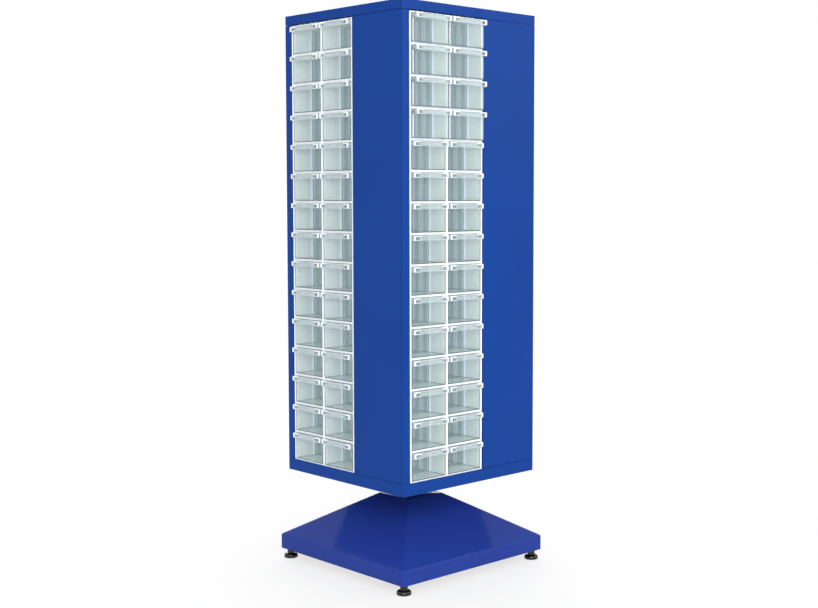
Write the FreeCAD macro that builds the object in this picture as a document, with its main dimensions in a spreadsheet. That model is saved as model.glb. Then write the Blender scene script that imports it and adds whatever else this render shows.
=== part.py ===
import FreeCAD, Part
import math
import os
import re

import Sketcher

# Rotary small-parts drawer tower: a square sheet-steel tower that turns on a low pyramid base.
# Each of the four faces carries two columns of clear drawers in stacked plastic housings, laid
# out as a pinwheel: seen from outside, a face has a narrow stile at its left, then the drawer
# block, then a blank panel that covers the side of the next block.
# Frame: origin on the floor under the spin axis, +Z up, -Y is the front face.

doc = FreeCAD.newDocument("rotary_drawer_tower")

# Driving dimensions in millimetres: name, value, meaning.
SIZES = [
    ("row_count", 15, "drawers in one column"),
    ("row_pitch", 82.2, "height of one drawer housing"),
    ("housing_width", 266.0, "one housing, two drawer cells wide"),
    ("housing_depth", 186.5, "housing, front to back"),
    ("housing_side_wall", 4.5, "outer side walls of a housing"),
    ("housing_mid_wall", 6.5, "wall between the two cells"),
    ("housing_shelf", 2.8, "floor and ceiling of a housing"),
    ("housing_back_wall", 2.5, "back of a housing"),
    ("housing_recess", 3.0, "housing front behind the steel face"),
    ("housing_side_gap", 3.0, "housing to the edge of its opening"),
    ("housing_top_gap", 3.0, "top housing to the top border"),
    ("stile_width", 24.0, "steel strip at the left of an opening"),
    ("core_gap", 17.5, "side of one block to the back of the next"),
    ("top_border", 26.0, "rim of the roof cap"),
    ("bottom_border", 33.0, "rim of the floor tray"),
    ("sheet_gauge", 1.5, "sheet steel of the tower"),
    ("bend_radius", 3.0, "outside radius of the sheet bends"),
    ("return_flange", 18.0, "panel edges folded inwards"),
    ("lip_width", 18.0, "inward lips of roof cap and floor tray"),
    ("shelf_angle_leg", 20.0, "angle that carries the back of a stack"),
    ("drawer_side_gap", 1.0, "drawer to cell wall, each side"),
    ("drawer_floor_gap", 0.3, "drawer to cell floor"),
    ("drawer_top_gap", 1.5, "drawer to cell ceiling"),
    ("drawer_front_inset", 0.5, "drawer front behind the housing front"),
    ("drawer_back_gap", 4.5, "drawer back to the back of its cell"),
    ("drawer_wall", 1.8, "drawer sides, back and floor"),
    ("drawer_front_wall", 2.2, "drawer front panel"),
    ("handle_reach", 11.5, "handle channel in front of the drawer front"),
    ("handle_height", 14.0, "handle channel, top to lower edge"),
    ("handle_wall", 2.0, "walls of the handle channel"),
    ("ajar_rows", 4, "top rows of the front face that stand ajar"),
    ("ajar_distance", 12.0, "how far those drawers stand out"),
    ("divider_place", 65.0, "divider behind the drawer front"),
    ("divider_thickness", 1.5, "divider plate"),
    ("divider_rim_gap", 15.0, "divider plate below the rim of the drawer"),
    ("divider_gap", 0.2, "divider to drawer side, each side"),
    ("base_width", 540.0, "base, side to side"),
    ("base_lift", 28.0, "floor to the lower edge of the base"),
    ("skirt_height", 40.0, "upright rim of the base"),
    ("pyramid_rise", 124.5, "skirt top to the flat apex"),
    ("apex_width", 130.0, "flat top of the pyramid"),
    ("apex_corner_radius", 5.0, "corners of the flat apex"),
    ("base_gauge", 2.0, "sheet steel of the base"),
    ("base_corner_radius", 12.0, "upright corners of the base"),
    ("skirt_edge_radius", 6.0, "rolled edge between skirt and slope"),
    ("neck_height", 67.5, "flat apex to the underside of the tower"),
    ("foot_inset", 23.0, "foot axis to the side of the base"),
    ("foot_pad_diameter", 40.0, "levelling foot pad"),
    ("foot_pad_rim", 3.0, "upright rim of the pad"),
    ("foot_pad_height", 11.0, "pad to its neck"),
    ("foot_neck_diameter", 21.0, "neck above the pad"),
    ("foot_stem_diameter", 10.0, "threaded stem"),
    ("foot_stem_spare", 14.0, "stem above the corner plate"),
    ("plate_inset", 2.0, "corner plates above the lower edge of the base"),
    ("seat_gap", 0.05, "between faces that bear on each other across a joint"),
    ("thread_clearance", 0.05, "stem or bolt to its hole, radial"),
    ("corner_plate_width", 60.0, "square plate in each base corner"),
    ("corner_plate_thickness", 5.0, "plate that carries a foot"),
    ("locknut_flats", 17.0, "locknut across flats"),
    ("locknut_height", 6.0, "locknut"),
    ("arm_width", 40.0, "diagonal channel of the underframe"),
    ("arm_height", 26.0, "diagonal channel"),
    ("arm_gauge", 2.5, "sheet steel of the channel"),
    ("arm_foot_gap", 4.5, "arm end to the locknut"),
    ("hub_plate_width", 110.0, "plate where the arms cross"),
    ("hub_plate_thickness", 6.0, "plate where the arms cross"),
    ("nut_room", 7.0, "flats of the spindle nut to the hole round it"),
    ("spindle_diameter", 30.0, "turning spindle"),
    ("spindle_tail_diameter", 24.0, "threaded lower end"),
    ("spindle_tail_spare", 4.0, "thread below the nut"),
    ("spindle_flange_diameter", 116.0, "flange under the turntable plate"),
    ("spindle_flange_thickness", 12.0, "flange under the turntable plate"),
    ("bush_wall", 7.0, "plastic bushes around the spindle"),
    ("bush_length", 24.0, "each bush"),
    ("running_clearance", 0.05, "spindle in its bushes, radial"),
    ("tube_wall", 8.0, "spindle housing tube"),
    ("bearing_flange_diameter", 100.0, "top flange of the spindle housing"),
    ("bearing_flange_thickness", 8.0, "top flange of the spindle housing"),
    ("thrust_washer_thickness", 4.0, "plastic thrust washer"),
    ("nut_flats", 36.0, "spindle nut across flats"),
    ("nut_height", 14.0, "spindle nut"),
    ("turntable_thickness", 8.0, "square plate under the tower"),
    ("bolt_partition_gap", 24.5, "turntable bolt axis outside the inner partitions"),
    ("bolt_edge_inset", 25.0, "turntable bolt axis to the side of the plate"),
    ("bolt_diameter", 10.0, "turntable bolts"),
    ("bolt_head_flats", 16.0, "turntable bolt heads across flats"),
    ("bolt_head_height", 6.4, "turntable bolt heads"),
]

sheet = doc.addObject("Spreadsheet::Sheet", "sizes")
for row, (alias, value, meaning) in enumerate(SIZES, start=1):
    sheet.set(f"A{row}", alias.replace("_", " "))
    sheet.set(f"B{row}", str(value))
    sheet.set(f"C{row}", meaning)
    sheet.setAlias(f"B{row}", alias)
doc.recompute()

# Sizes that follow from the driving ones, as formulas in their names.
DERIVED = {
    # tower
    "opening_width": "housing_width + 2 * housing_side_gap",
    "block_side": "stile_width + housing_side_gap + housing_width",
    "tower_width": "block_side + core_gap + housing_depth + housing_recess",
    "panel_width": "tower_width - stile_width - opening_width",
    "tower_half": "tower_width / 2",
    "opening_bottom": "tower_lift + bottom_border",
    "opening_height": "row_count * row_pitch + housing_top_gap",
    "opening_top": "opening_bottom + opening_height",
    "tower_top": "opening_top + top_border",
    "housing_front": "-tower_half + housing_recess",
    "housing_middle": "-tower_half + stile_width + opening_width / 2",
    "core_half": "tower_half - housing_recess - housing_depth",
    # drawers
    "cell_width": "(housing_width - 2 * housing_side_wall - housing_mid_wall) / 2",
    "cell_height": "row_pitch - 2 * housing_shelf",
    "cell_middle": "(housing_mid_wall + cell_width) / 2",
    "drawer_half": "cell_width / 2 - drawer_side_gap",
    "drawer_height": "cell_height - drawer_floor_gap - drawer_top_gap",
    "drawer_front": "housing_front + drawer_front_inset",
    "drawer_length": "housing_depth - housing_back_wall - drawer_front_inset - drawer_back_gap",
    "divider_height": "drawer_height - drawer_wall - divider_rim_gap",
    # base
    "base_half": "base_width / 2",
    "skirt_top": "base_lift + skirt_height",
    "apex_top": "skirt_top + pyramid_rise",
    "tower_lift": "apex_top + neck_height",
    "slope": "pyramid_rise / (base_half - apex_width / 2)",
    "inner_half": "base_half - base_gauge",
    "inner_radius": "base_corner_radius - base_gauge",
    "inner_spring": "skirt_top - base_gauge * sqrt(1 + slope * slope) + slope * base_gauge",
    "inner_top": "apex_top - base_gauge",
    "inner_apex_half": "inner_half - (inner_top - inner_spring) / slope",
    "foot_reach": "base_half - foot_inset",
    "plate_bottom": "base_lift + plate_inset",
    "plate_near": "inner_half - corner_plate_width",
    "arm_bottom": "plate_bottom + corner_plate_thickness",
    "arm_top": "arm_bottom + arm_height",
    "arm_half_length": "foot_reach * sqrt(2) - locknut_flats / sqrt(3) - arm_foot_gap",
    "hub_top": "arm_top + hub_plate_thickness",
    "stem_hole": "foot_stem_diameter + 2 * thread_clearance",
    # turning gear
    "bush_diameter": "spindle_diameter + 2 * bush_wall",
    "bush_bore": "spindle_diameter + 2 * running_clearance",
    "tube_diameter": "bush_diameter + 2 * tube_wall",
    "turntable_bottom": "tower_lift - turntable_thickness",
    "bolt_reach": "core_half + bolt_partition_gap",
    "turntable_half": "bolt_reach + bolt_edge_inset",
    "spindle_flange_bottom": "turntable_bottom - spindle_flange_thickness",
    "washer_top": "spindle_flange_bottom - seat_gap",
    "washer_bottom": "washer_top - thrust_washer_thickness",
    "upper_bush_bottom": "washer_bottom - bush_length",
    "nut_top": "hub_top - seat_gap",
    "nut_bottom": "nut_top - nut_height",
    "hub_bore": "nut_flats + 2 * nut_room",
    "bolt_hole": "bolt_diameter + 2 * thread_clearance",
}
ALIASES = {alias for alias, _, _ in SIZES}
CORNERS = [(1, 1), (-1, 1), (-1, -1), (1, -1)]


def formula(text):
    """Turn a formula in plain size names into one that points at the cells of the sheet."""

    def point_at_cell(match):
        word = match.group(0)
        if word in ALIASES:
            return "sizes." + word
        if word in DERIVED:
            return "(" + formula(DERIVED[word]) + ")"
        return word

    return re.sub(r"[a-z][a-z_]*", point_at_cell, text)


def value(text):
    """The present value of a formula."""
    return float(sheet.evalExpression(formula(text)))


def bind(item, **properties):
    """Bind properties of an object to formulas; a double underscore stands for a dot."""
    for name, text in properties.items():
        item.setExpression(name.replace("__", "."), formula(text))
    return item


def place(item, x, y, z, turn=0):
    """Place an object, turned with its place by quarter turns about the spin axis."""
    x, y = [(x, y), (f"-({y})", x), (f"-({x})", f"-({y})"), (y, f"-({x})")][turn]
    item.Placement.Rotation = FreeCAD.Rotation(FreeCAD.Vector(0, 0, 1), 90 * turn)
    return bind(item, Placement__Base__x=x, Placement__Base__y=y, Placement__Base__z=z)


# --- sketches --------------------------------------------------------------------------------

def new_sketch(body, plane="XY_Plane", lift=None):
    """A sketch on one of the body's own origin planes, moved off it by a formula."""
    sketch = body.newObject("Sketcher::SketchObject", "Sketch")
    support = next(item for item in body.Origin.OriginFeatures if item.Role == plane)
    sketch.AttachmentSupport = [(support, "")]
    sketch.MapMode = "FlatFace"
    if lift:
        bind(sketch, AttachmentOffset__Base__z=lift)
    return sketch


def constrain(sketch, name, formula_text, *constraint):
    """Add a constraint whose value follows a formula."""
    index = sketch.addConstraint(Sketcher.Constraint(*constraint))
    sketch.renameConstraint(index, name)
    sketch.setExpression(f"Constraints.{name}", formula(formula_text))


def fix_point(sketch, geometry, point, across, up):
    """Tie a point to its two formulas, or to an axis where a formula is 0."""
    for kind, axis, text in (("DistanceX", -2, across), ("DistanceY", -1, up)):
        if text == "0":
            sketch.addConstraint(Sketcher.Constraint("PointOnObject", geometry, point, axis))
        else:
            name = f"{kind}{geometry}_{point}"
            constrain(sketch, name, text, kind, -1, 1, geometry, point, value(text))


def draw_outline(sketch, corners):
    """Draw a closed outline through corners, each a pair of formulas."""
    first = sketch.GeometryCount
    count = len(corners)
    points = [FreeCAD.Vector(value(across), value(up), 0) for across, up in corners]
    for i in range(count):
        sketch.addGeometry(Part.LineSegment(points[i], points[(i + 1) % count]), False)
    for i, (across, up) in enumerate(corners):
        following = first + (i + 1) % count
        sketch.addConstraint(Sketcher.Constraint("Coincident", first + i, 2, following, 1))
        fix_point(sketch, first + i, 1, across, up)
    return sketch


def draw_rectangle(sketch, left, right, low, high):
    """Draw a rectangle between four formulas."""
    return draw_outline(sketch, [(left, low), (right, low), (right, high), (left, high)])


def draw_square(sketch, half):
    """Draw a square about the origin."""
    return draw_rectangle(sketch, f"-({half})", half, f"-({half})", half)


def draw_rounded_square(sketch, half, radius):
    """Draw a square about the origin with its corners rounded."""
    inset = f"({half} - ({radius}))"
    up = FreeCAD.Vector(0, 0, 1)
    for quarter, (side_x, side_y) in enumerate([(1, -1), (1, 1), (-1, 1), (-1, -1)]):
        start, end = [
            [(f"-{inset}", f"-({half})"), (inset, f"-({half})")],
            [(half, f"-{inset}"), (half, inset)],
            [(inset, half), (f"-{inset}", half)],
            [(f"-({half})", inset), (f"-({half})", f"-{inset}")],
        ][quarter]
        ends = [FreeCAD.Vector(value(x), value(y), 0) for x, y in (start, end)]
        centre = FreeCAD.Vector(side_x, side_y, 0) * value(inset)
        angle = math.radians(90 * quarter - 90)
        circle = Part.Circle(centre, up, value(radius))
        sketch.addGeometry(Part.LineSegment(*ends), False)
        sketch.addGeometry(Part.ArcOfCircle(circle, angle, angle + math.pi / 2), False)
        fix_point(sketch, 2 * quarter, 1, *start)
        fix_point(sketch, 2 * quarter, 2, *end)
    for line in (0, 2, 4, 6):
        sketch.addConstraint(Sketcher.Constraint("Tangent", line, 2, line + 1, 1))
        sketch.addConstraint(Sketcher.Constraint("Coincident", line + 1, 2, (line + 2) % 8, 1))
    return sketch


def draw_circle(sketch, diameter, across="0", up="0"):
    """Draw a circle of a given diameter about a point."""
    centre = FreeCAD.Vector(value(across), value(up), 0)
    outline = Part.Circle(centre, FreeCAD.Vector(0, 0, 1), value(diameter) / 2)
    circle = sketch.addGeometry(outline, False)
    constrain(sketch, f"Diameter{circle}", diameter, "Diameter", circle, value(diameter))
    fix_point(sketch, circle, 3, across, up)
    return sketch


def draw_hexagon(sketch, flats):
    """Draw a hexagon about the origin from its size across flats."""
    radius = f"({flats}) / sqrt(3)"
    return draw_outline(sketch, [
        (f"{radius} * cos({60 * i})", f"{radius} * sin({60 * i})" if i % 3 else "0")
        for i in range(6)
    ])


# --- features --------------------------------------------------------------------------------

def new_body(label):
    """A PartDesign body whose label names its file."""
    body = doc.addObject("PartDesign::Body", label)
    body.Label = label
    return body


def pad(body, sketch, length):
    """Pad a sketch of the body towards its normal."""
    feature = body.newObject("PartDesign::Pad", "Pad")
    feature.Profile = sketch
    return bind(feature, Length=length)


def pocket(body, sketch, length, along_normal=True):
    """Pocket a sketch into the body, and make sure that it takes material away."""
    doc.recompute()
    before = body.Shape.Volume
    feature = body.newObject("PartDesign::Pocket", "Pocket")
    feature.Profile = sketch
    feature.Reversed = along_normal
    bind(feature, Length=length)
    doc.recompute()
    if not body.Shape.Volume < before:
        raise RuntimeError(f"a pocket of {body.Label} cuts nothing")
    return feature


def loft(body, kind, low, high):
    """Loft straight between two sketches."""
    feature = body.newObject(kind, "Loft")
    feature.Profile = low
    feature.Sections = [high]
    feature.Ruled = True
    return feature


def revolve(body, profile):
    """Turn an outline of (radius, height) formulas about Z."""
    sketch = draw_outline(new_sketch(body, "XZ_Plane"), profile)
    feature = body.newObject("PartDesign::Revolution", "Revolution")
    feature.Profile = sketch
    feature.ReferenceAxis = (sketch, ["V_Axis"])
    feature.Angle = 360
    return feature


def fillet(body, radius, wanted):
    """Round the edges of the body that a test of their end points picks."""
    doc.recompute()
    sharp = body.Tip
    names = [
        f"Edge{number}"
        for number, edge in enumerate(sharp.Shape.Edges, start=1)
        if wanted([vertex.Point for vertex in edge.Vertexes])
    ]
    feature = body.newObject("PartDesign::Fillet", "Fillet")
    feature.Base = (sharp, names)
    return bind(feature, Radius=radius)


def near(a, b):
    """True for two lengths that are the same within rounding."""
    return abs(a - b) < 1e-5


def is_upright(ends):
    """True for the ends of an edge along Z."""
    return len(ends) == 2 and near(ends[0].x, ends[1].x) and near(ends[0].y, ends[1].y)


def copy_of(source, label):
    """A copy of a master's shape, which then gets a place of its own."""
    item = doc.addObject("Part::Feature", label)
    item.Label = label
    item.Shape = source.Shape.copy()
    return item


def group(label, members):
    """One object that holds several separate solids."""
    compound = doc.addObject("Part::Compound", label)
    compound.Label = label
    compound.Links = members
    return compound


# --- base ------------------------------------------------------------------------------------

def build_base_shell():
    """Pressed sheet base: an upright skirt under a low pyramid, open below."""
    body = new_body("base_shell")

    def square(half, radius, lift):
        return draw_rounded_square(new_sketch(body, lift=lift), half, radius)

    pad(body, square("base_half", "base_corner_radius", "base_lift"), "skirt_height")
    loft(body, "PartDesign::AdditiveLoft",
         square("base_half", "base_corner_radius", "skirt_top"),
         square("apex_width / 2", "apex_corner_radius", "apex_top"))
    skirt_top = value("skirt_top")
    fillet(body, "skirt_edge_radius", lambda ends: all(near(end.z, skirt_top) for end in ends))
    pocket(body, square("inner_half", "inner_radius", "base_lift"), "inner_spring - base_lift")
    loft(body, "PartDesign::SubtractiveLoft",
         square("inner_half", "inner_radius", "inner_spring"),
         square("inner_apex_half", "apex_corner_radius", "inner_top"))
    mouth = draw_circle(new_sketch(body, lift="inner_top - base_gauge"),
                        "tube_diameter + 2 * thread_clearance")
    pocket(body, mouth, "3 * base_gauge")
    return body


def build_underframe():
    """Two crossing channels with a hub plate, and a plate in each corner for a foot."""
    body = new_body("base_underframe")

    def diagonal(half_width, half_length, lift, quarter):
        """A sketch of one bar along a diagonal."""
        along, aside = f"({half_length}) / sqrt(2)", f"({half_width}) / sqrt(2)"
        corners = [
            (f"-{along} + {aside}", f"-{along} - {aside}"),
            (f"{along} + {aside}", f"{along} - {aside}"),
            (f"{along} - {aside}", f"{along} + {aside}"),
            (f"-{along} - {aside}", f"-{along} + {aside}"),
        ]
        if quarter:
            corners = [(f"-({up})", across) for across, up in corners]
        return draw_outline(new_sketch(body, lift=lift), corners)

    for quarter in (0, 1):
        pad(body, diagonal("arm_width / 2", "arm_half_length", "arm_bottom", quarter),
            "arm_height")
    pad(body, draw_square(new_sketch(body, lift="arm_top"), "hub_plate_width / 2"),
        "hub_plate_thickness")
    for quarter in (0, 1):
        pocket(body, diagonal("arm_width / 2 - arm_gauge", "arm_half_length + arm_gauge",
                              "arm_bottom", quarter),
               "arm_height - arm_gauge")
    for side_x, side_y in CORNERS:
        plate = draw_outline(new_sketch(body, lift="plate_bottom"), [
            (f"{side_x} * plate_near", f"{side_y} * plate_near"),
            (f"{side_x} * inner_half", f"{side_y} * plate_near"),
            (f"{side_x} * inner_half", f"{side_y} * (inner_half - base_corner_radius)"),
            (f"{side_x} * (inner_half - base_corner_radius)", f"{side_y} * inner_half"),
            (f"{side_x} * plate_near", f"{side_y} * inner_half"),
        ])
        pad(body, plate, "corner_plate_thickness")
    holes = new_sketch(body, lift="plate_bottom")
    for side_x, side_y in CORNERS:
        draw_circle(holes, "stem_hole", f"{side_x} * foot_reach", f"{side_y} * foot_reach")
    pocket(body, holes, "corner_plate_thickness")
    bore = draw_circle(new_sketch(body, lift="arm_bottom"), "hub_bore")
    pocket(body, bore, "arm_height + hub_plate_thickness")
    return body


def build_foot(turn):
    """Levelling foot: plastic pad with a neck, on a threaded stem."""
    body = new_body(f"levelling_foot_{turn + 1}")
    shoulder, stem_top = "plate_bottom - seat_gap", "arm_bottom + foot_stem_spare"
    revolve(body, [
        ("0", "0"),
        ("foot_pad_diameter / 2", "0"),
        ("foot_pad_diameter / 2", "foot_pad_rim"),
        ("foot_neck_diameter / 2", "foot_pad_height"),
        ("foot_neck_diameter / 2", shoulder),
        ("foot_stem_diameter / 2", shoulder),
        ("foot_stem_diameter / 2", stem_top),
        ("0", stem_top),
    ])
    return place(body, "-foot_reach", "-foot_reach", "0", turn)


def build_locknuts():
    """Hexagon nuts that clamp the foot stems on top of the corner plates."""
    master = new_body("locknut_master")
    sketch = draw_hexagon(new_sketch(master), "locknut_flats")
    pad(master, draw_circle(sketch, "stem_hole"), "locknut_height")
    doc.recompute()
    return group("foot_locknuts", [
        place(copy_of(master, f"locknut_{turn + 1}"), "-foot_reach", "-foot_reach",
              "arm_bottom", turn)
        for turn in range(4)
    ])


# --- turning gear ----------------------------------------------------------------------------

def build_spindle_housing():
    """Tube that stands on the hub plate and carries the bushes and the thrust washer."""
    body = new_body("spindle_housing")
    inner, outer, rim = "bush_diameter / 2", "tube_diameter / 2", "bearing_flange_diameter / 2"
    flange_bottom = "washer_bottom - bearing_flange_thickness"
    revolve(body, [
        (inner, "hub_top"), (outer, "hub_top"), (outer, flange_bottom),
        (rim, flange_bottom), (rim, "washer_bottom"), (inner, "washer_bottom"),
    ])
    return body


def build_ring(label, diameter, low, height):
    """A plain plastic ring that the spindle turns in."""
    body = new_body(label)
    sketch = draw_circle(new_sketch(body, lift=low), diameter)
    pad(body, draw_circle(sketch, "bush_bore"), height)
    return body


def build_spindle():
    """Spindle with its top flange and threaded tail."""
    body = new_body("spindle")
    stem, tail = "spindle_diameter / 2", "spindle_tail_diameter / 2"
    rim = "spindle_flange_diameter / 2"
    tail_end = "nut_bottom - spindle_tail_spare"
    revolve(body, [
        ("0", tail_end), (tail, tail_end), (tail, "nut_top"), (stem, "nut_top"),
        (stem, "spindle_flange_bottom"), (rim, "spindle_flange_bottom"),
        (rim, "turntable_bottom"), ("0", "turntable_bottom"),
    ])
    return body


def build_spindle_nut():
    """Hexagon nut that keeps the spindle in its housing."""
    body = new_body("spindle_nut")
    sketch = draw_hexagon(new_sketch(body, lift="nut_bottom"), "nut_flats")
    pad(body, draw_circle(sketch, "spindle_tail_diameter + 2 * thread_clearance"), "nut_height")
    return body


def drill_bolt_holes(body, lift, depth):
    """Four holes for the turntable bolts."""
    sketch = new_sketch(body, lift=lift)
    for side_x, side_y in CORNERS:
        draw_circle(sketch, "bolt_hole", f"{side_x} * bolt_reach", f"{side_y} * bolt_reach")
    pocket(body, sketch, depth)


def build_turntable_plate():
    """Square plate that spreads the tower's load onto the spindle flange."""
    body = new_body("turntable_plate")
    pad(body, draw_square(new_sketch(body, lift="turntable_bottom"), "turntable_half"),
        "turntable_thickness")
    drill_bolt_holes(body, "turntable_bottom", "turntable_thickness")
    return body


def build_turntable_bolts():
    """Hexagon bolts through the tower floor into the turntable plate."""
    master = new_body("bolt_master")
    pad(master, draw_circle(new_sketch(master), "bolt_diameter"),
        "turntable_thickness + sheet_gauge")
    head = new_sketch(master, lift="turntable_thickness + sheet_gauge")
    pad(master, draw_hexagon(head, "bolt_head_flats"), "bolt_head_height")
    doc.recompute()
    return group("turntable_bolts", [
        place(copy_of(master, f"turntable_bolt_{turn + 1}"), "-bolt_reach", "-bolt_reach",
              "turntable_bottom", turn)
        for turn in range(4)
    ])


# --- tower casing ----------------------------------------------------------------------------

def build_folded_tray(label, low, high, mouth, mouth_cuts_up):
    """Square sheet tray with an inward lip round its mouth."""
    body = new_body(label)
    depth = f"{high} - {low} - sheet_gauge"
    pad(body, draw_square(new_sketch(body, lift=low), "tower_half"), f"{high} - {low}")
    fillet(body, "bend_radius", is_upright)
    pocket(body, draw_square(new_sketch(body, lift=mouth), "tower_half - lip_width"), depth,
           along_normal=mouth_cuts_up)
    cavity = body.newObject("PartDesign::SubtractiveBox", "Cavity")
    inner = "tower_half - sheet_gauge"
    bind(cavity, Length=f"2 * ({inner})", Width=f"2 * ({inner})", Height=f"{depth} - sheet_gauge")
    bind(cavity, Placement__Base__x=f"-({inner})", Placement__Base__y=f"-({inner})",
         Placement__Base__z=f"{low} + sheet_gauge")
    return body


def build_tower_floor():
    """Floor tray, open upwards, with the holes for the turntable bolts."""
    body = build_folded_tray("tower_floor", "tower_lift", "opening_bottom", "opening_bottom",
                             mouth_cuts_up=False)
    drill_bolt_holes(body, "tower_lift", "sheet_gauge")
    return body


def build_tower_roof():
    """Roof cap: the same tray upside down, with a lower rim."""
    return build_folded_tray("tower_roof", "opening_top", "tower_top", "opening_top",
                             mouth_cuts_up=True)


def build_corner_panel(label, turn):
    """Folded sheet round one corner: the stile of one face and the blank panel of the next."""
    body = new_body(label)
    pad(body, draw_outline(new_sketch(body), [
        ("0", "0"),
        ("stile_width", "0"),
        ("stile_width", "return_flange"),
        ("stile_width - sheet_gauge", "return_flange"),
        ("stile_width - sheet_gauge", "sheet_gauge"),
        ("sheet_gauge", "sheet_gauge"),
        ("sheet_gauge", "panel_width - sheet_gauge"),
        ("return_flange", "panel_width - sheet_gauge"),
        ("return_flange", "panel_width"),
        ("0", "panel_width"),
    ]), "opening_height")

    def is_bend_at(depth):
        return lambda ends: is_upright(ends) and (near(ends[0].x, depth) or near(ends[0].y, depth))

    fillet(body, "bend_radius", is_bend_at(0))
    fillet(body, "bend_radius - sheet_gauge", is_bend_at(value("sheet_gauge")))
    return place(body, "-tower_half", "-tower_half", "opening_bottom", turn)


def build_partitions():
    """Upright sheets behind the four blocks; each one ends against the next."""
    master = new_body("partition_master")
    pad(master, draw_rectangle(new_sketch(master), "-tower_half + lip_width",
                               "core_half - sheet_gauge", "-core_half",
                               "-core_half + sheet_gauge"),
        "tower_top - tower_lift - 2 * sheet_gauge")
    doc.recompute()
    return group("inner_partitions", [
        place(copy_of(master, f"partition_{turn + 1}"), "0", "0", "tower_lift + sheet_gauge",
              turn)
        for turn in range(4)
    ])


def build_shelf_angles():
    """Angles on the partitions that carry the backs of the stacks."""
    master = new_body("shelf_angle_master")
    sketch = draw_outline(new_sketch(master, "YZ_Plane"), [
        ("-core_half", "0"),
        ("-core_half - shelf_angle_leg", "0"),
        ("-core_half - shelf_angle_leg", "-sheet_gauge"),
        ("-core_half - sheet_gauge", "-sheet_gauge"),
        ("-core_half - sheet_gauge", "-shelf_angle_leg"),
        ("-core_half", "-shelf_angle_leg"),
    ])
    pad(master, sketch, "housing_width")
    doc.recompute()
    return group("shelf_angles", [
        place(copy_of(master, f"shelf_angle_{turn + 1}"),
              "housing_middle - housing_width / 2", "0", "opening_bottom", turn)
        for turn in range(4)
    ])


# --- housings and drawers --------------------------------------------------------------------

def build_housing_master():
    """Moulded housing with two cells, its front at y = 0 and its floor at z = 0."""
    master = new_body("housing_master")
    outside = draw_rectangle(new_sketch(master), "-housing_width / 2", "housing_width / 2",
                             "0", "housing_depth")
    pad(master, outside, "row_pitch")
    cells = new_sketch(master, "XZ_Plane")
    for side in (-1, 1):
        middle = f"{side} * cell_middle"
        draw_rectangle(cells, f"{middle} - cell_width / 2", f"{middle} + cell_width / 2",
                       "housing_shelf", "row_pitch - housing_shelf")
    pocket(master, cells, "housing_depth - housing_back_wall", along_normal=False)
    return master


def build_housings(master):
    """The four stacks of housings."""
    return group("drawer_housings", [
        place(copy_of(master, f"housing_{turn + 1}_{row:02d}"), "housing_middle",
              "housing_front", f"opening_bottom + (row_count - {row}) * row_pitch", turn)
        for turn in range(4)
        for row in rows
    ])


def build_tray_master():
    """Clear tray with a full-width handle channel, open below and closed at both ends."""
    master = new_body("tray_master")
    side = draw_outline(new_sketch(master, "YZ_Plane", lift="-drawer_half"), [
        ("0", "0"),
        ("drawer_length", "0"),
        ("drawer_length", "drawer_height"),
        ("-handle_reach", "drawer_height"),
        ("-handle_reach", "drawer_height - handle_height"),
        ("0", "drawer_height - handle_height"),
    ])
    pad(master, side, "2 * drawer_half")
    inside = draw_rectangle(new_sketch(master, lift="drawer_height"),
                            "-drawer_half + drawer_wall", "drawer_half - drawer_wall",
                            "drawer_front_wall", "drawer_length - drawer_wall")
    pocket(master, inside, "drawer_height - drawer_wall", along_normal=False)
    channel = draw_rectangle(new_sketch(master, lift="drawer_height - handle_height"),
                             "-drawer_half + handle_wall", "drawer_half - handle_wall",
                             "-handle_reach + handle_wall", "0")
    pocket(master, channel, "handle_height - handle_wall")
    return master


def build_divider_master():
    """Clear plate across the tray."""
    master = new_body("divider_master")
    half = "drawer_half - drawer_wall - divider_gap"
    plate = draw_rectangle(new_sketch(master, lift="drawer_wall"), f"-({half})", half,
                           "divider_place", "divider_place + divider_thickness")
    pad(master, plate, "divider_height")
    return master


def place_drawer(source, label, row, side, turn, ajar=False):
    """One drawer in its cell; row 1 is at the top, side -1 is the left column."""
    y = "drawer_front - ajar_distance" if ajar else "drawer_front"
    z = f"opening_bottom + (row_count - {row}) * row_pitch + housing_shelf + drawer_floor_gap"
    return place(copy_of(source, label), f"housing_middle + {side} * cell_middle", y, z, turn)


def build_front_drawers(source):
    """The drawers of the front face, each one an object of its own."""
    ajar_rows = int(value("ajar_rows"))
    return [
        place_drawer(source, f"drawer_{row:02d}_{column}", row, side, 0, row <= ajar_rows)
        for column, side in (("left", -1), ("right", 1))
        for row in rows
    ]


def build_drawer_column(source, face, turn, column, side):
    """One column of drawers of another face, as one object."""
    return group(f"drawers_{face}_{column}", [
        place_drawer(source, f"{face}_{column}_{row:02d}", row, side, turn)
        for row in rows
    ])


rows = range(1, int(value("row_count")) + 1)
nodes = [build_base_shell(), build_underframe()]
nodes += [build_foot(turn) for turn in range(4)]
nodes += [
    build_locknuts(),
    build_spindle_housing(),
    build_ring("lower_bush", "bush_diameter", "hub_top", "bush_length"),
    build_ring("upper_bush", "bush_diameter", "upper_bush_bottom", "bush_length"),
    build_ring("thrust_washer", "bearing_flange_diameter", "washer_bottom",
               "thrust_washer_thickness"),
    build_spindle(),
    build_spindle_nut(),
    build_turntable_plate(),
    build_turntable_bolts(),
    build_tower_floor(),
    build_tower_roof(),
]
nodes += [
    build_corner_panel(f"corner_panel_{place_name}", turn)
    for turn, place_name in enumerate(("front_left", "front_right", "back_right", "back_left"))
]
nodes += [build_partitions(), build_shelf_angles()]

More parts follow.
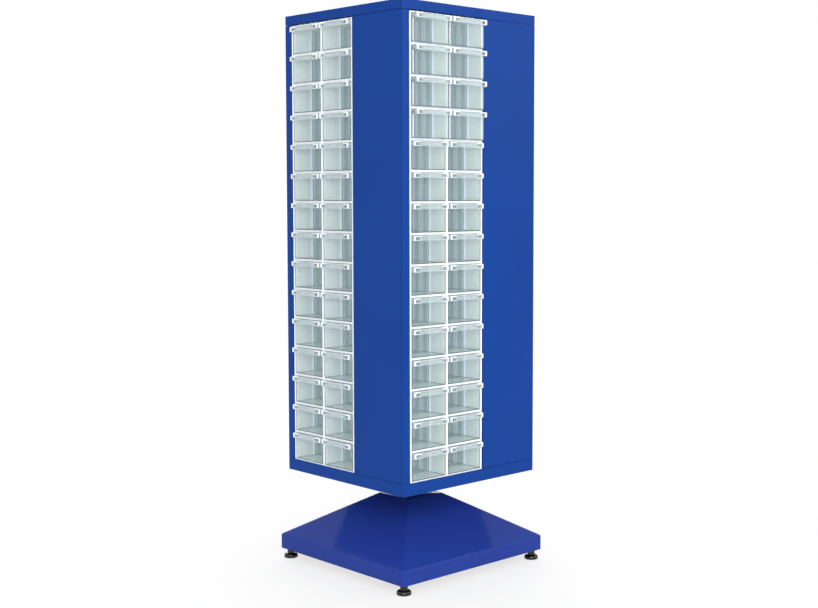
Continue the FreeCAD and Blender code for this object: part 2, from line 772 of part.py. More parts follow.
housing = build_housing_master()
tray = build_tray_master()
divider = build_divider_master()
drawer = group("drawer_master", [tray, divider])
doc.recompute()
nodes.append(build_housings(housing))
nodes += build_front_drawers(drawer)
nodes += [
    build_drawer_column(tray, face, turn, column, side)
    for turn, face in ((1, "right"), (2, "back"), (3, "left"))
    for column, side in (("left", -1), ("right", 1))
]

doc.recompute()
for item in doc.Objects:
    if "Invalid" in item.State or "Error" in item.State:
        raise RuntimeError(f"{item.Label} did not rebuild: {item.State}")
for node in nodes:
    if node.Shape.isNull() or not node.Shape.isValid() or not node.Shape.Solids:
        raise RuntimeError(f"{node.Label} has no valid solid")

os.makedirs("parts", exist_ok=True)
for node in nodes:
    node.Shape.exportStep(f"parts/{node.Label}.step")
print(f"{len(nodes)} nodes, {sum(len(node.Shape.Solids) for node in nodes)} solids")
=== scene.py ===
"""Looks of the revolving small-parts tower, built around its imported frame."""
from __future__ import annotations

import logging
import math
from dataclasses import dataclass, field
from enum import Enum
from functools import cached_property
from typing import Iterable

import bmesh
import bpy
from mathutils import Matrix, Vector

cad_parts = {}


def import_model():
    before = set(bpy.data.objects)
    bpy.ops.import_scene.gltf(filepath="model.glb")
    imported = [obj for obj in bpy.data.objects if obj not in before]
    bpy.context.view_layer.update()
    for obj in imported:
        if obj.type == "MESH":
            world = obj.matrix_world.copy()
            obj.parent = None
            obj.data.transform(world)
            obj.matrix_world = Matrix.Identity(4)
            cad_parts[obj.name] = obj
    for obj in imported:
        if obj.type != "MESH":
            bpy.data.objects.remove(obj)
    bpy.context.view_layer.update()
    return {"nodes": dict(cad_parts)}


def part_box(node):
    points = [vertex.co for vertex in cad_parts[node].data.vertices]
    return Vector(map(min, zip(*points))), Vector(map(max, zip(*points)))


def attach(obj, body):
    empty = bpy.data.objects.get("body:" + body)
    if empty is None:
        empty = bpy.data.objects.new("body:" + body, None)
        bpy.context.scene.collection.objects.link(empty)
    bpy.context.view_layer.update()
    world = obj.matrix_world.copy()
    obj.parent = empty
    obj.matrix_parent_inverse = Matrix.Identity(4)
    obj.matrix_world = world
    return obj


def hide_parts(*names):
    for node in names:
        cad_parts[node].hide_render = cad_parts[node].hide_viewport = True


log = logging.getLogger("drawer_tower")

Colour = tuple[float, float, float]
Triple = tuple[float, float, float]
MM = 0.001
WHITE = (1.0, 1.0, 1.0, 1.0)


class Face(Enum):
    """The four faces of the tower, by their quarter turns from the front."""

    FRONT = 0
    RIGHT = 1
    BACK = 2
    LEFT = 3

    @property
    def turn(self) -> Matrix:
        """The turn that carries the front face's layout to this face."""
        return Matrix.Rotation(self.value * math.pi / 2, 4, "Z")


class Column(Enum):
    """The two drawer columns of a face, seen from outside."""

    LEFT = "left"
    RIGHT = "right"


# --- finishes --------------------------------------------------------------------------------


class Wiring:
    """The node tree of one material, with the links that several finishes share."""

    # A Mix node's colour sockets go by number, because its other modes use the same names.
    mix_factor, mix_first, mix_second, mix_result = 0, 6, 7, 2

    def __init__(self, name: str) -> None:
        """Makes a material that holds one Principled shader.

        Args:
            name: the material's name.
        """
        self.material = bpy.data.materials.new(name)
        self.material.use_nodes = True
        self.nodes = self.material.node_tree.nodes
        self.links = self.material.node_tree.links
        self.shader = self.nodes["Principled BSDF"]
        self.place = self.nodes.new("ShaderNodeTexCoord").outputs["Object"]

    def set(self, **values: float | Colour) -> None:
        """Sets plain values of the shader.

        Args:
            **values: the value of each socket, with _ for a space in the socket's name.
        """
        for name, value in values.items():
            socket = self.shader.inputs[name.replace("_", " ")]
            socket.default_value = (*value, 1.0) if isinstance(value, tuple) else value

    def noise(self, size: float, detail: float = 2.0,
              stretch: Triple = (1.0, 1.0, 1.0)) -> bpy.types.NodeSocket:
        """Adds noise on the piece's own coordinates.

        Args:
            size: the width of one blotch in metres.
            detail: how many finer layers it has.
            stretch: how much longer it is along x, y and z.

        Returns:
            The noise's factor.
        """
        mapping = self.nodes.new("ShaderNodeMapping")
        mapping.inputs["Scale"].default_value = [1.0 / (size * pull) for pull in stretch]
        noise = self.nodes.new("ShaderNodeTexNoise")
        noise.inputs["Scale"].default_value = 1.0
        noise.inputs["Detail"].default_value = detail
        self.links.new(self.place, mapping.inputs["Vector"])
        self.links.new(mapping.outputs["Vector"], noise.inputs["Vector"])
        return noise.outputs["Fac"]

    def spread(self, factor: bpy.types.NodeSocket, low: float, high: float,
               start: float = 0.3, end: float = 0.7) -> bpy.types.NodeSocket:
        """Maps a factor between start and end to values between low and high.

        Args:
            factor: the factor to map.
            low: the value at start.
            high: the value at end.
            start: the factor that gives low.
            end: the factor that gives high.

        Returns:
            The mapped value.
        """
        node = self.nodes.new("ShaderNodeMapRange")
        for name, value in (("From Min", start), ("From Max", end), ("To Min", low),
                            ("To Max", high)):
            node.inputs[name].default_value = value
        self.links.new(factor, node.inputs["Value"])
        return node.outputs["Result"]

    def blend(self, factor: bpy.types.NodeSocket, first: Colour,
              second: Colour) -> bpy.types.NodeSocket:
        """Blends two colours by a factor.

        Args:
            factor: 0 for the first colour and 1 for the second.
            first: the first colour.
            second: the second colour.

        Returns:
            The blended colour.
        """
        mix = self.nodes.new("ShaderNodeMix")
        mix.data_type = "RGBA"
        mix.inputs[self.mix_first].default_value = (*first, 1.0)
        mix.inputs[self.mix_second].default_value = (*second, 1.0)
        self.links.new(factor, mix.inputs[self.mix_factor])
        return mix.outputs[self.mix_result]

    def bump(self, height: bpy.types.NodeSocket, depth: float) -> None:
        """Lets a factor raise the surface.

        Args:
            height: the factor.
            depth: the height of a full step in metres.
        """
        bump = self.nodes.new("ShaderNodeBump")
        bump.inputs["Strength"].default_value = 1.0
        bump.inputs["Distance"].default_value = depth
        self.links.new(height, bump.inputs["Height"])
        self.links.new(bump.outputs["Normal"], self.shader.inputs["Normal"])

    def feed(self, name: str, value: bpy.types.NodeSocket) -> None:
        """Links a value to one of the shader's sockets."""
        self.links.new(value, self.shader.inputs[name])


@dataclass(frozen=True)
class PowderCoat:
    """Powder-coated sheet steel: an even colour with a fine orange peel."""

    name: str
    colour: Colour
    shade: float = 0.88
    roughness: float = 0.34
    roughness_spread: float = 0.04
    gloss: float = 0.22
    peel_size: float = 1.6 * MM
    peel_depth: float = 0.012 * MM
    peel_detail: float = 1.0
    cloud_size: float = 0.35
    cloud_detail: float = 3.0

    @cached_property
    def material(self) -> bpy.types.Material:
        """Wires the finish.

        Returns:
            The finish as a material.
        """
        wiring = Wiring(self.name)
        darker = tuple(self.shade * part for part in self.colour)
        clouds = wiring.noise(self.cloud_size, detail=self.cloud_detail)
        wiring.feed("Base Color", wiring.blend(wiring.spread(clouds, 0, 1), self.colour, darker))
        peel = wiring.noise(self.peel_size, detail=self.peel_detail)
        wiring.feed("Roughness", wiring.spread(peel, self.roughness - self.roughness_spread,
                                               self.roughness + self.roughness_spread))
        wiring.bump(peel, self.peel_depth)
        wiring.set(Specular_IOR_Level=self.gloss)
        return wiring.material


@dataclass(frozen=True)
class Moulding:
    """Injection-moulded plastic, solid or clear.

    Clear plastic has a haze below 1. That is the share of light that it holds back where it faces
    the eye, and the edge haze is the same where it is seen edge-on.
    """

    name: str
    colour: Colour
    flow_colour: Colour
    roughness: float = 0.25
    roughness_spread: float = 0.05
    gloss: float = 0.5
    grain_size: float = 0.9 * MM
    grain_depth: float = 0.004 * MM
    flow_size: float = 60 * MM
    flow_stretch: Triple = (1.0, 1.0, 2.0)
    haze: float = 1.0
    edge_haze: float = 1.0
    haze_blend: float = 0.5
    haze_start: float = 0.3
    haze_end: float = 1.0
    glow: float = 0.0

    @cached_property
    def material(self) -> bpy.types.Material:
        """Wires the finish, see-through where its haze is below 1.

        Returns:
            The finish as a material.
        """
        wiring = Wiring(self.name)
        flow = wiring.spread(wiring.noise(self.flow_size, stretch=self.flow_stretch), 0, 1)
        wiring.feed("Base Color", wiring.blend(flow, self.colour, self.flow_colour))
        grain = wiring.noise(self.grain_size)
        wiring.feed("Roughness", wiring.spread(grain, self.roughness - self.roughness_spread,
                                               self.roughness + self.roughness_spread))
        wiring.bump(grain, self.grain_depth)
        wiring.set(Specular_IOR_Level=self.gloss)
        # A glow is painted light: the piece shines though it is no lamp.
        if self.glow:
            wiring.set(Emission_Color=self.colour, Emission_Strength=self.glow)
        if self.haze < 1.0:
            facing = wiring.nodes.new("ShaderNodeLayerWeight")
            facing.inputs["Blend"].default_value = self.haze_blend
            wiring.feed("Alpha", wiring.spread(facing.outputs["Facing"], self.haze, self.edge_haze,
                                               start=self.haze_start, end=self.haze_end))
        return wiring.material


@dataclass(frozen=True)
class Machined:
    """Turned or plated steel with fine tool marks."""

    name: str
    colour: Colour
    worn_colour: Colour
    roughness: float = 0.3
    roughness_below: float = 0.08
    roughness_above: float = 0.1
    mark_size: float = 0.4 * MM
    mark_depth: float = 0.006 * MM
    mark_stretch: Triple = (20.0, 20.0, 1.0)

    @cached_property
    def material(self) -> bpy.types.Material:
        """Wires the finish.

        Returns:
            The finish as a material.
        """
        wiring = Wiring(self.name)
        marks = wiring.noise(self.mark_size, stretch=self.mark_stretch)
        wiring.feed("Base Color", wiring.blend(wiring.spread(marks, 0, 1), self.colour,
                                               self.worn_colour))
        wiring.feed("Roughness", wiring.spread(marks, self.roughness - self.roughness_below,
                                               self.roughness + self.roughness_above))
        wiring.bump(marks, self.mark_depth)
        wiring.set(Metallic=1.0)
        return wiring.material


TOWER_PAINT = PowderCoat("tower_paint", (0.004, 0.047, 0.268), gloss=0.08)
BASE_PAINT = PowderCoat("base_paint", (0.018, 0.047, 0.300), roughness=0.12, gloss=0.09)
# Near-black frame paint, darkened further as painted shade so the parts under the tower read as
# the shade there.
FRAME_PAINT_AND_SHADE = PowderCoat("frame_paint_and_shade", (0.020, 0.022, 0.026), roughness=0.5)
HOUSING_WHITE = Moulding("housing_white", (0.93, 0.95, 0.96), (0.90, 0.93, 0.94))
DRAWER_CLEAR = Moulding("drawer_clear", (0.68, 0.86, 0.83), (0.64, 0.82, 0.79), roughness=0.14,
                        haze=0.07, edge_haze=0.45)
# Painted shade: the divider is tinted dark to stand for the shade deep in each drawer behind it.
DIVIDER_CLEAR_PAINTED_SHADE = Moulding("divider_clear_painted_shade", (0.18, 0.29, 0.35), (0.16, 0.27, 0.33),
                         roughness=0.16, haze=0.25, edge_haze=0.5)
HANDLE_FROSTED = Moulding("handle_frosted", (0.72, 0.83, 0.85), (0.68, 0.79, 0.82),
                          roughness=0.3, haze=0.15, edge_haze=0.40)
# Painted shade: the dark panes stand for the shade in the pockets at the ends of each handle.
PANE_PAINTED_SHADE = Moulding("window_shaded", (0.28, 0.35, 0.40), (0.24, 0.31, 0.36), roughness=0.2,
                         haze=0.28, edge_haze=0.4)
# Painted light: the slot ribs are pale and glow, standing for the light that they catch.
RIB_PAINTED_GLOW = Moulding("rib_painted_glow", (0.76, 0.85, 0.95), (0.72, 0.81, 0.91), roughness=0.2,
                     haze=0.68, edge_haze=0.8, glow=0.27)
# Painted highlight: pale glowing strips where the edges of the clear plastic catch the light.
EDGE_PAINTED_HIGHLIGHT = Moulding("edge_painted_highlight", (0.94, 0.97, 0.98), (0.90, 0.94, 0.96), roughness=0.2,
                       haze=0.7, edge_haze=0.8, glow=0.16)
# Painted shade: dark strips in the gaps and edges of the clear plastic that stay in shade.
EDGE_PAINTED_SHADE = Moulding("edge_painted_shade", (0.09, 0.14, 0.20), (0.07, 0.11, 0.16), roughness=0.2,
                       haze=0.6, edge_haze=0.75)
FOOT_BLACK = Moulding("foot_black", (0.004, 0.004, 0.004), (0.006, 0.006, 0.007), roughness=0.16)
BEARING_BLACK = Moulding("bearing_black", (0.03, 0.03, 0.033), (0.022, 0.022, 0.025),
                         roughness=0.4)
TURNED_STEEL = Machined("turned_steel", (0.55, 0.55, 0.56), (0.36, 0.36, 0.37))
PLATED_STEEL = Machined("plated_steel", (0.62, 0.61, 0.56), (0.45, 0.44, 0.40), roughness=0.35,
                        mark_size=1.2 * MM, mark_stretch=(1.0, 1.0, 1.0))


# --- modelling -------------------------------------------------------------------------------


class Blank:
    """A piece in work: a bmesh in metres, with the operations that the pieces share."""

    def __init__(self) -> None:
        """Starts with an empty mesh."""
        self.mesh = bmesh.new()

    def bevel(self, edges: Iterable[bmesh.types.BMEdge], radius: float,
              segments: int = 2) -> None:
        """Rounds edges.

        Args:
            edges: the edges to round.
            radius: the width of the rounding.
            segments: the number of faces across it.
        """
        bmesh.ops.bevel(self.mesh, geom=list(edges), offset=radius, offset_type="OFFSET",
                        segments=segments, profile=0.5, affect="EDGES", material=-1,
                        clamp_overlap=True)

    def block(self, low: Iterable[float], high: Iterable[float], rounding: float = 0.0) -> None:
        """Adds a block between two corners.

        Args:
            low: the lowest corner.
            high: the highest corner.
            rounding: the width of its flattened edges.
        """
        low, high = Vector(low), Vector(high)
        verts = bmesh.ops.create_cube(self.mesh, size=1.0)["verts"]
        bmesh.ops.scale(self.mesh, vec=high - low, verts=verts)
        bmesh.ops.translate(self.mesh, vec=(low + high) / 2, verts=verts)
        if rounding:
            edges = {edge for vert in verts for edge in vert.link_edges}
            self.bevel(edges, rounding, segments=1)

    def stud(self, foot: Iterable[float], radius: float, height: float, sides: int = 10,
             taper: float = 0.8) -> None:
        """Adds a small upright stud.

        Args:
            foot: the middle of its foot.
            radius: its radius.
            height: its height.
            sides: the number of its sides.
            taper: the share of its radius that is left at its top.
        """
        place = Matrix.Translation(Vector(foot) + Vector((0, 0, height / 2)))
        bmesh.ops.create_cone(self.mesh, cap_ends=True, segments=sides, radius1=radius,
                              radius2=radius * taper, depth=height, matrix=place)

    def stamp(self, other: Blank, place: Matrix) -> None:
        """Adds a copy of another piece at a place.

        Args:
            other: the piece to copy.
            place: where the copy goes.
        """
        copy = bpy.data.meshes.new("copy")
        other.mesh.to_mesh(copy)
        copy.transform(place)
        self.mesh.from_mesh(copy)
        bpy.data.meshes.remove(copy)

    def finish(self, name: str, material: bpy.types.Material, crease: float = 40.0,
               tidy_normals: bool = True) -> bpy.types.Object:
        """Turns the mesh into an object of the scene.

        Args:
            name: the piece's name.
            material: its material.
            crease: the angle in degrees past which an edge stays sharp.
            tidy_normals: whether the faces still have to be turned outwards.

        Returns:
            The finished object, at the origin.
        """
        if tidy_normals:
            bmesh.ops.recalc_face_normals(self.mesh, faces=self.mesh.faces)
        data = bpy.data.meshes.new(name)
        self.mesh.to_mesh(data)
        self.mesh.free()
        data.polygons.foreach_set("use_smooth", [True] * len(data.polygons))
        data.set_sharp_from_angle(angle=math.radians(crease))
        data.materials.append(material)
        piece = bpy.data.objects.new(name, data)
        bpy.context.scene.collection.objects.link(piece)
        weighted = piece.modifiers.new("weighted_normals", "WEIGHTED_NORMAL")
        weighted.keep_sharp = True
        return piece


def settle(piece: bpy.types.Object, body: str, node: str) -> None:
    """Hands a finished piece to its body.

    Args:
        piece: the finished piece.
        body: the body that it moves with.
        node: the node that it stands for.
    """
    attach(piece, body)
    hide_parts(node)
    log.info("%s: %d faces on %s", piece.name, len(piece.data.polygons), body)


# --- drawers ---------------------------------------------------------------------------------


class Part(Enum):
    """The parts of a drawer that differ in finish or in painted highlight and shade."""

    TUB = "tub"
    HANDLE = "handle"
    WINDOW = "window"
    DIVIDER = "divider"
    RIBS = "ribs"
    PAINTED_HIGHLIGHTS = "painted_highlights"
    PAINTED_SHADE_STRIPS = "painted_shade_strips"


# Each part's material: the highlight strips, shade strips, panes, ribs and divider carry painted
# light and shade.
DRAWER_FINISHES_AND_PAINTED_LIGHT = {
    Part.TUB: DRAWER_CLEAR,
    Part.HANDLE: HANDLE_FROSTED,
    Part.WINDOW: PANE_PAINTED_SHADE,
    Part.DIVIDER: DIVIDER_CLEAR_PAINTED_SHADE,
    Part.RIBS: RIB_PAINTED_GLOW,
    Part.PAINTED_HIGHLIGHTS: EDGE_PAINTED_HIGHLIGHT,
    Part.PAINTED_SHADE_STRIPS: EDGE_PAINTED_SHADE,
}


@dataclass
class Drawer:
    """One clear drawer: tub, handle channel with a blank label strip, slot ribs and divider.

    It is modelled with its front at y = 0, its floor at z = 0 and its middle at x = 0. The light
    strips are painted highlights where the edges of the clear plastic catch the light, and the
    dark strips are painted shade where its gaps and edges stay dark. A side of the drawer is -1
    for the left and 1 for the right.
    """

    width: float
    depth: float
    height: float

    wall: float = 1.8 * MM
    corner: float = 1.6 * MM
    edge: float = 1.0 * MM
    front_post: float = 5.5 * MM
    front_skin: float = 0.5 * MM
    shade: float = 2.2 * MM
    shade_gap: float = 0.4 * MM
    shade_front: float = 0.2 * MM
    shade_back: float = 1.0 * MM
    foot_gap: float = 0.3 * MM
    foot_skin: float = 0.2 * MM

    handle_reach: float = 11.5 * MM
    handle_height: float = 14.0 * MM
    handle_wall: float = 2.0 * MM
    handle_rounding: float = 0.4 * MM
    handle_setback: float = 0.1 * MM
    lip_highlight: float = 0.8 * MM
    lip_shade: float = 6.5 * MM
    lip_shade_skin: float = 0.5 * MM
    lip_shade_gap: float = 0.4 * MM
    label_front: float = 0.2 * MM
    label_back: float = 0.6 * MM
    label_foot_gap: float = 1.6 * MM
    label_head_gap: float = 0.6 * MM

    window: float = 21.5 * MM
    window_post: float = 5.5 * MM
    window_rib: float = 2.6 * MM
    window_rib_lift: float = 1.0 * MM
    window_sill: float = 2.2 * MM
    window_head: float = 0.8 * MM
    window_rounding: float = 0.3 * MM
    pane_front: float = 0.8 * MM
    pane_back: float = 1.2 * MM

    slot_pitch: float = 32 * MM
    slot_count: int = 4
    slot_gap: float = 5.0 * MM
    slot_reach: float = 1.5 * MM
    slot_breadth: float = 3.6 * MM
    divider_place: float = 65 * MM
    divider_rim_gap: float = 5 * MM
    divider_wall: float = 1.5 * MM
    divider_play: float = 0.3 * MM

    def build(self) -> dict[Part, Blank]:
        """Models the drawer.

        Returns:
            The mesh of each part.
        """
        parts = {part: Blank() for part in Part}
        self.add_tub(parts)
        self.add_channel(parts)
        for side in (-1, 1):
            self.add_window(parts, side)
            self.add_front_corner(parts, side)
            self.add_slots(parts, side)
        self.add_rims(parts)
        self.add_divider(parts)
        return parts

    def span(self, side: int, near: float, far: float) -> tuple[float, float]:
        """The lower and upper x between two distances from one side of the drawer."""
        ends = (side * (self.width / 2 - near), side * (self.width / 2 - far))
        return min(ends), max(ends)

    def add_tub(self, parts: dict[Part, Blank]) -> None:
        """Adds the open tub with rounded corners.

        Args:
            parts: the mesh of each part.
        """
        blank = parts[Part.TUB]
        half, mesh = self.width / 2, blank.mesh
        blank.block((-half, 0, 0), (half, self.depth, self.height))
        mouth = [face for face in mesh.faces if face.normal.z > 0.5]
        bmesh.ops.delete(mesh, geom=mouth, context="FACES_ONLY")
        blank.bevel([edge for edge in mesh.edges if not edge.is_boundary], self.corner)
        bmesh.ops.recalc_face_normals(mesh, faces=mesh.faces)
        bmesh.ops.solidify(mesh, geom=list(mesh.faces), thickness=self.wall)

    def add_channel(self, parts: dict[Part, Blank]) -> None:
        """Adds the middle of the handle channel with a painted highlight along its front top edge,
        the painted shade over the back of its lip, and its blank label strip.

        Args:
            parts: the mesh of each part.
        """
        frosted, painted_highlight = parts[Part.HANDLE], parts[Part.PAINTED_HIGHLIGHTS]
        reach, lip, top = self.handle_reach, self.handle_wall, self.height
        foot, end = top - self.handle_height, self.width / 2 - self.window
        half = self.width / 2 - self.edge
        # Painted highlight along the channel's front top edge.
        painted_highlight.block((-end, -reach, top - self.lip_highlight), (end, self.edge - reach, top))
        frosted.block((-end, lip - reach, top - lip), (end, 0, top), self.handle_rounding)
        frosted.block((-end, self.handle_setback - reach, foot),
                      (end, lip - reach, top - self.handle_setback), self.handle_rounding)
        # Painted shade: a dark strip over the back of the lip stands for the shadow gap under the
        # shelf.
        parts[Part.PAINTED_SHADE_STRIPS].block((-half, -self.lip_shade, top - lip + self.lip_shade_skin),
                                       (half, -self.lip_shade_gap, top - self.lip_shade_skin))
        frosted.block((-end, lip - reach + self.label_front, foot + self.label_foot_gap),
                      (end, lip - reach + self.label_back, top - lip - self.label_head_gap))

    def add_window(self, parts: dict[Part, Blank], side: int) -> None:
        """Adds one end of the channel: a framed window with painted highlights on its end plate,
        sill, head and post, a dark pane of painted shade, and the inner rib.

        Args:
            parts: the mesh of each part.
            side: the side of the drawer.
        """
        frosted, painted_highlight, painted_shade = parts[Part.HANDLE], parts[Part.PAINTED_HIGHLIGHTS], parts[Part.WINDOW]
        reach, lip, top = self.handle_reach, self.handle_wall, self.height
        foot = top - self.handle_height
        near, far = self.span(side, 0, self.window)
        post = self.span(side, 0, self.window_post)
        rib = self.span(side, self.window, self.window - self.window_rib)
        pane = self.span(side, self.window_post, self.window - self.window_rib)
        plate = self.span(side, 0, lip)
        sill, head = foot + self.window_sill, top - lip - self.window_head
        # Painted highlights on the end plate, the top of the sill, the head and the post.
        painted_highlight.block((near, -reach, top - lip), (far, -self.lip_shade, top), self.handle_rounding)
        frosted.block((near, -self.lip_shade, top - lip), (far, 0, top))
        painted_highlight.block((near, -reach, sill - self.edge), (far, lip - reach, sill),
                     self.window_rounding)
        frosted.block((near, -reach, foot), (far, lip - reach, sill - self.edge),
                      self.window_rounding)
        painted_highlight.block((near, -reach, head), (far, lip - reach, top - lip))
        painted_highlight.block((post[0], -reach, sill), (post[1], lip - reach, head))
        frosted.block((rib[0], lip - reach, foot + self.window_rib_lift), (rib[1], 0, top - lip))
        # Painted shade: the dark pane stands for the shade in the pocket behind the window.
        painted_shade.block((pane[0], self.pane_front - reach, sill),
                     (pane[1], self.pane_back - reach, head))
        frosted.block((plate[0], lip - reach, foot), (plate[1], 0, top - lip))

    def add_front_corner(self, parts: dict[Part, Blank], side: int) -> None:
        """Adds the painted highlight on the outer skin and the painted shade of the rim and the
        foot of one front corner.

        Args:
            parts: the mesh of each part.
            side: the side of the drawer.
        """
        painted_highlight, painted_shade = parts[Part.PAINTED_HIGHLIGHTS], parts[Part.PAINTED_SHADE_STRIPS]
        top, back = self.height - self.handle_height, self.corner + self.front_post
        inner = self.wall - self.foot_skin
        skin = self.span(side, 0, self.front_skin)
        rim = self.span(side, self.shade_gap, self.shade)
        foot = self.span(side, self.foot_gap, inner)
        # Painted highlight on the outer side skin near the front.
        painted_highlight.block((skin[0], self.corner, self.corner), (skin[1], back, top))
        # Painted shade along the front rim and, below, along the bottom edge of the side wall.
        painted_shade.block((rim[0], self.shade_front, self.corner), (rim[1], self.shade_back, top))
        painted_shade.block((foot[0], self.corner, self.foot_gap),
                     (foot[1], self.depth - self.corner, inner))

    def add_slots(self, parts: dict[Part, Blank], side: int) -> None:
        """Adds the pairs of upright ribs that hold dividers along one side wall.

        Args:
            parts: the mesh of each part.
            side: the side of the drawer.
        """
        low, high = self.span(side, self.wall, self.wall + self.slot_reach)
        rise, breadth = self.height - self.divider_rim_gap, self.slot_breadth
        middle = self.divider_place + self.divider_wall / 2
        for number in range(self.slot_count):
            for step in (-1, 1):
                y = middle + number * self.slot_pitch + step * (self.slot_gap + breadth) / 2
                # The ribs carry the painted glow of their finish.
                parts[Part.RIBS].block((low, y - breadth / 2, self.wall),
                                       (high, y + breadth / 2, rise))

    def add_rims(self, parts: dict[Part, Blank]) -> None:
        """Adds the painted highlight along the rim of the side and back walls and the painted
        shade along the foot of the front.

        Args:
            parts: the mesh of each part.
        """
        painted_highlight, painted_shade = parts[Part.PAINTED_HIGHLIGHTS], parts[Part.PAINTED_SHADE_STRIPS]
        half, top, wall = self.width / 2, self.height, self.wall
        for side in (-1, 1):
            low, high = self.span(side, 0, wall)
            # Painted highlight along the top rims of the walls.
            painted_highlight.block((low, 0, top - self.edge), (high, self.depth, top))
        painted_highlight.block((wall - half, self.depth - wall, top - self.edge),
                     (half - wall, self.depth, top))
        # Painted shade along the foot of the front.
        painted_shade.block((self.shade - half, self.shade_front, self.shade_gap),
                     (half - self.shade, self.shade_back, self.shade))

    def add_divider(self, parts: dict[Part, Blank]) -> None:
        """Adds the divider, whose dark tint is painted shade, and the painted shade along its side
        edges.

        Args:
            parts: the mesh of each part.
        """
        inner = self.width / 2 - self.wall - self.divider_play
        near, far = self.divider_place, self.divider_place + self.divider_wall
        foot, top = self.wall, self.height - self.divider_rim_gap
        # The plate's dark tint and its side strips are painted shade.
        parts[Part.DIVIDER].block((self.edge - inner, near, foot), (inner - self.edge, far, top))
        for side in (-1, 1):
            low, high = sorted((side * inner, side * (inner - self.edge)))
            parts[Part.PAINTED_SHADE_STRIPS].block((low, near, foot), (high, far, top))


@dataclass
class DrawerBlock:
    """All drawers of the tower, laid out from the front face's own."""

    rows: int = 15
    closed_front: float = field(init=False)
    pattern: Drawer = field(init=False)

    def __post_init__(self) -> None:
        """Reads the drawer's size and the front of a closed drawer from the frame."""
        low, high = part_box(self.node(self.rows, Column.LEFT))
        size = high - low
        self.closed_front = low.y + Drawer.handle_reach
        self.pattern = Drawer(size.x, size.y - Drawer.handle_reach, size.z)

    @staticmethod
    def node(row: int, column: Column) -> str:
        """The name of a drawer of the front face."""
        return f"drawer_{row:02d}_{column.value}"

    def place(self, row: int, column: Column, closed: bool = False) -> Matrix:
        """Finds the place of a drawer of the front face.

        Args:
            row: its row, counted from the top.
            column: its column.
            closed: whether it is pushed in, where its own may stand ajar.

        Returns:
            The shift that takes the drawer's pattern there.
        """
        low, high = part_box(self.node(row, column))
        front = self.closed_front if closed else low.y + Drawer.handle_reach
        return Matrix.Translation(((low.x + high.x) / 2, front, low.z))

    def build(self) -> None:
        """Builds the front drawers one by one and the other faces' by the column."""
        parts = self.pattern.build()
        for column in Column:
            for row in range(1, self.rows + 1):
                self.dress(self.node(row, column), [self.place(row, column)], parts)
            for face in (Face.RIGHT, Face.BACK, Face.LEFT):
                places = [
                    face.turn @ self.place(row, column, closed=True)
                    for row in range(1, self.rows + 1)
                ]
                self.dress(f"drawers_{face.name.lower()}_{column.value}", places, parts)
        for blank in parts.values():
            blank.mesh.free()

    @staticmethod
    def dress(node: str, places: list[Matrix], parts: dict[Part, Blank]) -> None:
        """Builds the drawers of one node, which is a body of the same name.

        Args:
            node: the node that they stand for.
            places: one place for each drawer.
            parts: the modelled parts of a drawer.
        """
        for part, pattern in parts.items():
            blank = Blank()
            for place in places:
                blank.stamp(pattern, place)
            piece = blank.finish(f"{node}_{part.value}", DRAWER_FINISHES_AND_PAINTED_LIGHT[part].material)
            settle(piece, node, node)


# --- housings --------------------------------------------------------------------------------


